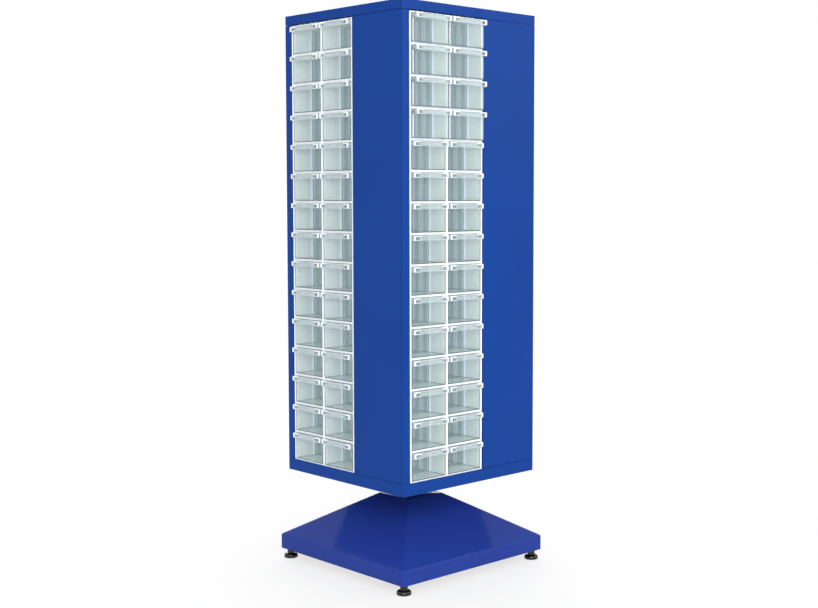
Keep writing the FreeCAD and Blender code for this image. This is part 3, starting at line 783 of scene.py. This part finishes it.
@dataclass
class HousingStack:
    """The stacked white housings, with two cells each, behind all four faces."""

    drawers: DrawerBlock
    width: float = 266 * MM
    depth: float = 186.5 * MM
    side_wall: float = 4.5 * MM
    mid_wall: float = 6.5 * MM
    shelf: float = 2.8 * MM
    back_wall: float = 2.5 * MM
    edge: float = 0.5 * MM
    cell_share: float = 0.25
    flush_gap: float = 0.001 * MM
    rim_angle: float = 1.0
    stud_offsets: tuple[float, ...] = (-34 * MM, -16.5 * MM, 16.5 * MM, 34 * MM)
    stud_inset: float = 6 * MM
    stud_radius: float = 2.2 * MM
    stud_height: float = 2.6 * MM
    front: float = field(init=False)
    floor: float = field(init=False)
    pitch: float = field(init=False)
    middle: float = field(init=False)

    def __post_init__(self) -> None:
        """Reads the stack's place and the height of a housing from the frame."""
        low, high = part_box("drawer_housings")
        self.front, self.floor = low.y, low.z
        self.pitch = (high.z - low.z) / self.drawers.rows
        left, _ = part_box(self.drawers.node(1, Column.LEFT))
        _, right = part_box(self.drawers.node(1, Column.RIGHT))
        self.middle = (left.x + right.x) / 2

    def module(self) -> Blank:
        """Models one housing, its front at y = 0 and its floor at z = 0.

        Returns:
            The finished mesh.
        """
        blank = Blank()
        mesh = blank.mesh
        half, mid = self.width / 2, self.mid_wall / 2
        across = (-half, self.side_wall - half, -mid, mid, half - self.side_wall, half)
        up = (0.0, self.shelf, self.pitch - self.shelf, self.pitch)
        columns, rows = len(across) - 1, len(up) - 1
        bmesh.ops.create_grid(mesh, x_segments=columns, y_segments=rows, size=1.0)
        for vert in mesh.verts:
            column = round((vert.co.x + 1) * columns / 2)
            row = round((vert.co.y + 1) * rows / 2)
            vert.co = (across[column], 0.0, up[row])
        front = list(mesh.faces)
        shell = bmesh.ops.extrude_face_region(mesh, geom=front)["geom"]
        back = [item for item in shell if isinstance(item, bmesh.types.BMVert)]
        bmesh.ops.translate(mesh, vec=(0, self.depth, 0), verts=back)
        cells = [
            face for face in front
            if face.is_valid and face.calc_area() > self.cell_share * self.width * self.pitch
        ]
        pits = bmesh.ops.extrude_discrete_faces(mesh, faces=cells)["faces"]
        for pit in pits:
            bmesh.ops.translate(mesh, vec=(0, self.depth - self.back_wall, 0), verts=pit.verts)
        bmesh.ops.recalc_face_normals(mesh, faces=mesh.faces)
        rim = [
            edge for edge in mesh.edges
            if all(abs(vert.co.y) < self.flush_gap for vert in edge.verts)
            and edge.calc_face_angle(0.0) > self.rim_angle
        ]
        blank.bevel(rim, self.edge)
        return blank

    def add_studs(self, blank: Blank) -> None:
        """Adds the studs that lock housings together, on top of the top housing.

        Args:
            blank: the top housing.
        """
        cell = (self.width - 2 * self.side_wall - self.mid_wall) / 2
        middle = (self.mid_wall + cell) / 2
        for side in (-1, 1):
            for offset in self.stud_offsets:
                for y in (self.stud_inset, self.depth - self.stud_inset):
                    blank.stud((side * middle + offset, y, self.pitch), self.stud_radius,
                               self.stud_height)

    def build(self) -> None:
        """Builds one stack behind each face."""
        module = self.module()
        top = Blank()
        top.stamp(module, Matrix.Identity(4))
        self.add_studs(top)
        for face in Face:
            stack = Blank()
            for row in range(self.drawers.rows):
                place = Matrix.Translation((self.middle, self.front,
                                            self.floor + row * self.pitch))
                source = top if row == self.drawers.rows - 1 else module
                stack.stamp(source, face.turn @ place)
            piece = stack.finish(f"housing_stack_{face.name.lower()}", HOUSING_WHITE.material)
            settle(piece, "tower", "drawer_housings")
        module.mesh.free()
        top.mesh.free()


# --- steelwork -------------------------------------------------------------------------------


@dataclass(frozen=True)
class Softened:
    """A rigid node that keeps its shape and gets rounded edges and a finish.

    The seam is the width of the dark joint left open above and below it. Angles are in degrees.
    """

    node: str
    body: str
    slot: str
    finish: PowderCoat | Moulding | Machined
    radius: float
    seam: float = 0.0
    weld_gap: float = 0.002 * MM
    level_gap: float = 0.01 * MM
    flat_angle: float = 0.6
    sharp_angle: float = 35
    crease: float = 32

    def build(self, nodes: dict[str, bpy.types.Object]) -> None:
        """Builds the softened copy.

        Args:
            nodes: the frame's nodes.
        """
        blank = self.soften(nodes[self.node].data)
        piece = blank.finish(f"{self.node}_skin", self.finish.material, crease=self.crease,
                             tidy_normals=False)
        settle(piece, self.body, self.node)

    def soften(self, shape: bpy.types.Mesh) -> Blank:
        """Copies the node's shape and rounds its sharp edges.

        Args:
            shape: the node's mesh.

        Returns:
            The softened copy.
        """
        blank = Blank()
        mesh = blank.mesh
        mesh.from_mesh(shape)
        bmesh.ops.remove_doubles(mesh, verts=mesh.verts, dist=self.weld_gap)
        bmesh.ops.dissolve_limit(mesh, angle_limit=math.radians(self.flat_angle),
                                 verts=mesh.verts, edges=mesh.edges)
        if self.seam:
            self.open_seams(mesh)
        sharp = [
            edge for edge in mesh.edges
            if len(edge.link_faces) == 2
            and edge.calc_face_angle(0.0) > math.radians(self.sharp_angle)
        ]
        blank.bevel(sharp, self.radius)
        return blank

    def open_seams(self, mesh: bmesh.types.BMesh) -> None:
        """Draws the copy's top and bottom in by a seam each.

        Args:
            mesh: the copy's mesh.
        """
        heights = [vert.co.z for vert in mesh.verts]
        for end, step in ((max(heights), -self.seam), (min(heights), self.seam)):
            rim = [vert for vert in mesh.verts if abs(vert.co.z - end) < self.level_gap]
            bmesh.ops.translate(mesh, vec=(0, 0, step), verts=rim)


@dataclass
class Casing:
    """Painted sheets of the tower: floor tray, roof cap and corner panels."""

    trays: tuple[str, ...] = ("tower_floor", "tower_roof")
    corners: tuple[str, ...] = ("front_left", "front_right", "back_right", "back_left")
    edge: float = 0.5 * MM
    seam: float = 0.9 * MM

    def build(self, nodes: dict[str, bpy.types.Object]) -> None:
        """Builds every outer sheet.

        Args:
            nodes: the frame's nodes.
        """
        sheets = [(tray, 0.0) for tray in self.trays]
        sheets += [(f"corner_panel_{corner}", self.seam) for corner in self.corners]
        for name, seam in sheets:
            Softened(name, "tower", "blue_steel", TOWER_PAINT, self.edge, seam).build(nodes)


@dataclass
class Foot:
    """A levelling foot: domed pad, neck and threaded stem, turned about an upright axis."""

    neck: float = 10.5 * MM
    stem: float = 5.0 * MM
    sole: float = 1.2 * MM
    rim_rise: float = 5.5 * MM
    dome_rise: float = 13.0 * MM
    dome_steps: int = 6
    shoulder_rise: float = 29.9 * MM
    thread_pitch: float = 2.0 * MM
    thread_depth: float = 0.6 * MM
    sides: int = 40
    weld_gap: float = 0.001 * MM

    def profile(self, radius: float, top: float) -> list[tuple[float, float]]:
        """Works out the foot's outline, from the sole to the stem.

        Args:
            radius: the pad's radius.
            top: the height of the stem's end.

        Returns:
            The radius and height of each point.
        """
        points = [(0.0, 0.0), (radius - self.sole, 0.0), (radius, self.sole)]
        for step in range(self.dome_steps + 1):
            angle = step / self.dome_steps * math.pi / 2
            points.append((self.neck + (radius - self.neck) * math.cos(angle),
                           self.rim_rise + (self.dome_rise - self.rim_rise) * math.sin(angle)))
        points += [(self.neck, self.shoulder_rise), (self.stem, self.shoulder_rise)]
        turns = int((top - self.shoulder_rise) / self.thread_pitch)
        for turn in range(turns):
            rise = self.shoulder_rise + (turn + 0.5) * self.thread_pitch
            points += [(self.stem - self.thread_depth, rise),
                       (self.stem, rise + self.thread_pitch / 2)]
        return [*points, (self.stem, top), (0.0, top)]

    def build(self, name: str) -> None:
        """Builds the foot that stands for one node.

        Args:
            name: the node, which is a body of the same name.
        """
        low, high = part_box(name)
        middle = (low + high) / 2
        axis = Vector((middle.x, middle.y, low.z))
        blank = Blank()
        mesh = blank.mesh
        outline = self.profile((high.x - low.x) / 2, high.z - low.z)
        verts = [mesh.verts.new(axis + Vector((reach, 0, rise))) for reach, rise in outline]
        edges = [mesh.edges.new(pair) for pair in zip(verts, verts[1:])]
        bmesh.ops.spin(mesh, geom=[*verts, *edges], cent=axis, axis=(0, 0, 1),
                       angle=2 * math.pi, steps=self.sides, use_merge=True)
        bmesh.ops.remove_doubles(mesh, verts=mesh.verts, dist=self.weld_gap)
        piece = blank.finish(f"{name}_turned", FOOT_BLACK.material)
        settle(piece, name, name)


@dataclass
class Base:
    """The standing part: pressed shell and levelling feet."""

    feet: int = 4
    shell_edge: float = 0.8 * MM

    def build(self, nodes: dict[str, bpy.types.Object]) -> None:
        """Builds the shell and the feet.

        Args:
            nodes: the frame's nodes.
        """
        Softened("base_shell", "base", "base_blue", BASE_PAINT, self.shell_edge).build(nodes)
        for number in range(1, self.feet + 1):
            Foot().build(f"levelling_foot_{number}")


@dataclass
class HiddenWorks:
    """Inner pieces that keep their own meshes and only take a finish."""

    painted: tuple[str, ...] = ("base_underframe", "spindle_housing", "turntable_plate",
                                "inner_partitions", "shelf_angles")
    turned: tuple[str, ...] = ("spindle",)
    plated: tuple[str, ...] = ("foot_locknuts", "spindle_nut", "turntable_bolts")
    bearings: tuple[str, ...] = ("lower_bush", "upper_bush", "thrust_washer")

    def build(self, nodes: dict[str, bpy.types.Object]) -> None:
        """Dresses every inner piece.

        Args:
            nodes: the frame's nodes.
        """
        # The frame paint is near-black, partly as painted shade under the tower.
        for names, finish in ((self.painted, FRAME_PAINT_AND_SHADE), (self.turned, TURNED_STEEL),
                              (self.plated, PLATED_STEEL), (self.bearings, BEARING_BLACK)):
            for name in names:
                slots = nodes[name].data.materials
                slots.clear()
                slots.append(finish.material)
                log.info("%s: finished in %s", name, finish.name)


# --- studio ----------------------------------------------------------------------------------


@dataclass(frozen=True)
class Lamp:
    """A soft square lamp that faces the middle of the tower."""

    name: str
    place: Triple
    size: float
    power: float
    aim: Triple = (0.0, 0.0, 0.9)

    def hang(self) -> None:
        """Adds the lamp to the scene."""
        light = bpy.data.lights.new(self.name, "AREA")
        light.shape = "SQUARE"
        light.size = self.size
        light.energy = self.power
        lamp = bpy.data.objects.new(self.name, light)
        lamp.location = self.place
        way = Vector(self.aim) - Vector(self.place)
        lamp.rotation_euler = way.to_track_quat("-Z", "Y").to_euler()
        bpy.context.scene.collection.objects.link(lamp)


@dataclass
class Studio:
    """Pale floor, soft light, white surroundings and the camera."""

    eye: Triple = (-2.4839, -2.7593, 1.0575)
    heading: float = 43.662
    dip: float = 4.168
    lens: float = 57.134
    sensor: float = 36.0
    shift: tuple[float, float] = (-0.04768, -0.02)
    clear_layers: int = 32
    ambient: float = 0.62
    floor_colour: Colour = (0.86, 0.86, 0.86)
    floor_roughness: float = 0.9
    floor_half: float = 30.0
    floor_drop: float = 0.4 * MM
    glow: tuple[float, float] = (0.72, 1.0)
    glow_reach: tuple[float, float] = (0.45, 1.5)
    lamps: tuple[Lamp, ...] = (
        Lamp("key_lamp", (-2.6, -3.5, 1.9), size=2.6, power=138.0),
        Lamp("side_lamp", (2.8, -3.6, 2.4), size=2.4, power=30.0),
        Lamp("top_lamp", (0.6, 0.8, 4.6), size=2.6, power=50.0),
        Lamp("rear_lamp", (2.8, 3.5, 2.4), size=2.6, power=110.0),
    )

    def build(self) -> None:
        """Builds the studio."""
        self.build_world()
        self.build_floor()
        for lamp in self.lamps:
            lamp.hang()
        self.build_camera()

    @staticmethod
    def seen(nodes: bpy.types.Nodes, links: bpy.types.NodeLinks) -> bpy.types.NodeSocket:
        """Adds a factor that is 1 for rays that show the surroundings.

        Args:
            nodes: the tree's nodes.
            links: the tree's links.

        Returns:
            The factor.
        """
        path = nodes.new("ShaderNodeLightPath")
        total = path.outputs["Is Camera Ray"]
        for name in ("Is Transmission Ray", "Is Glossy Ray"):
            largest = nodes.new("ShaderNodeMath")
            largest.operation = "MAXIMUM"
            links.new(total, largest.inputs[0])
            links.new(path.outputs[name], largest.inputs[1])
            total = largest.outputs[0]
        return total

    def build_world(self) -> None:
        """Makes a white world that lights more softly than it looks."""
        world = bpy.data.worlds.new("studio")
        world.use_nodes = True
        bpy.context.scene.world = world
        nodes, links = world.node_tree.nodes, world.node_tree.links
        background = nodes["Background"]
        background.inputs["Color"].default_value = WHITE
        level = nodes.new("ShaderNodeMapRange")
        level.inputs["To Min"].default_value = self.ambient
        links.new(self.seen(nodes, links), level.inputs["Value"])
        links.new(level.outputs["Result"], background.inputs["Strength"])

    def build_floor(self) -> None:
        """Lays a pale floor that keeps a light shadow and fades into the white."""
        blank = Blank()
        bmesh.ops.create_grid(blank.mesh, x_segments=1, y_segments=1, size=self.floor_half)
        bmesh.ops.translate(blank.mesh, vec=(0, 0, -self.floor_drop), verts=blank.mesh.verts)
        wiring = Wiring("studio_floor")
        nodes, links = wiring.nodes, wiring.links
        wiring.set(Base_Color=self.floor_colour, Roughness=self.floor_roughness,
                   Specular_IOR_Level=0.0)
        glow = nodes.new("ShaderNodeEmission")
        glow.inputs["Color"].default_value = WHITE
        distance = nodes.new("ShaderNodeVectorMath")
        distance.operation = "LENGTH"
        links.new(wiring.place, distance.inputs[0])
        fade = wiring.spread(distance.outputs["Value"], *self.glow, *self.glow_reach)
        share = nodes.new("ShaderNodeMath")
        share.operation = "MULTIPLY"
        links.new(fade, share.inputs[0])
        links.new(self.seen(nodes, links), share.inputs[1])
        mix = nodes.new("ShaderNodeMixShader")
        links.new(share.outputs[0], mix.inputs[0])
        links.new(wiring.shader.outputs[0], mix.inputs[1])
        links.new(glow.outputs[0], mix.inputs[2])
        links.new(mix.outputs[0], nodes["Material Output"].inputs["Surface"])
        blank.finish("floor", wiring.material)

    def build_camera(self) -> None:
        """Sets up the camera."""
        data = bpy.data.cameras.new("camera")
        data.lens = self.lens
        data.sensor_width = self.sensor
        data.shift_x, data.shift_y = self.shift
        camera = bpy.data.objects.new("camera", data)
        camera.location = self.eye
        camera.rotation_euler = (math.radians(90 - self.dip), 0.0, -math.radians(self.heading))
        bpy.context.scene.collection.objects.link(camera)
        bpy.context.scene.camera = camera
        bpy.context.scene.view_settings.view_transform = "Standard"
        bpy.context.scene.cycles.transparent_max_bounces = self.clear_layers


def main() -> None:
    """Builds the tower's looks around its frame."""
    logging.basicConfig(level=logging.INFO, format="%(name)s: %(message)s")
    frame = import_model()
    nodes = frame["nodes"]
    drawers = DrawerBlock()
    drawers.build()
    HousingStack(drawers).build()
    Casing().build(nodes)
    Base().build(nodes)
    HiddenWorks().build(nodes)
    Studio().build()


if __name__ == "__main__":
    main()
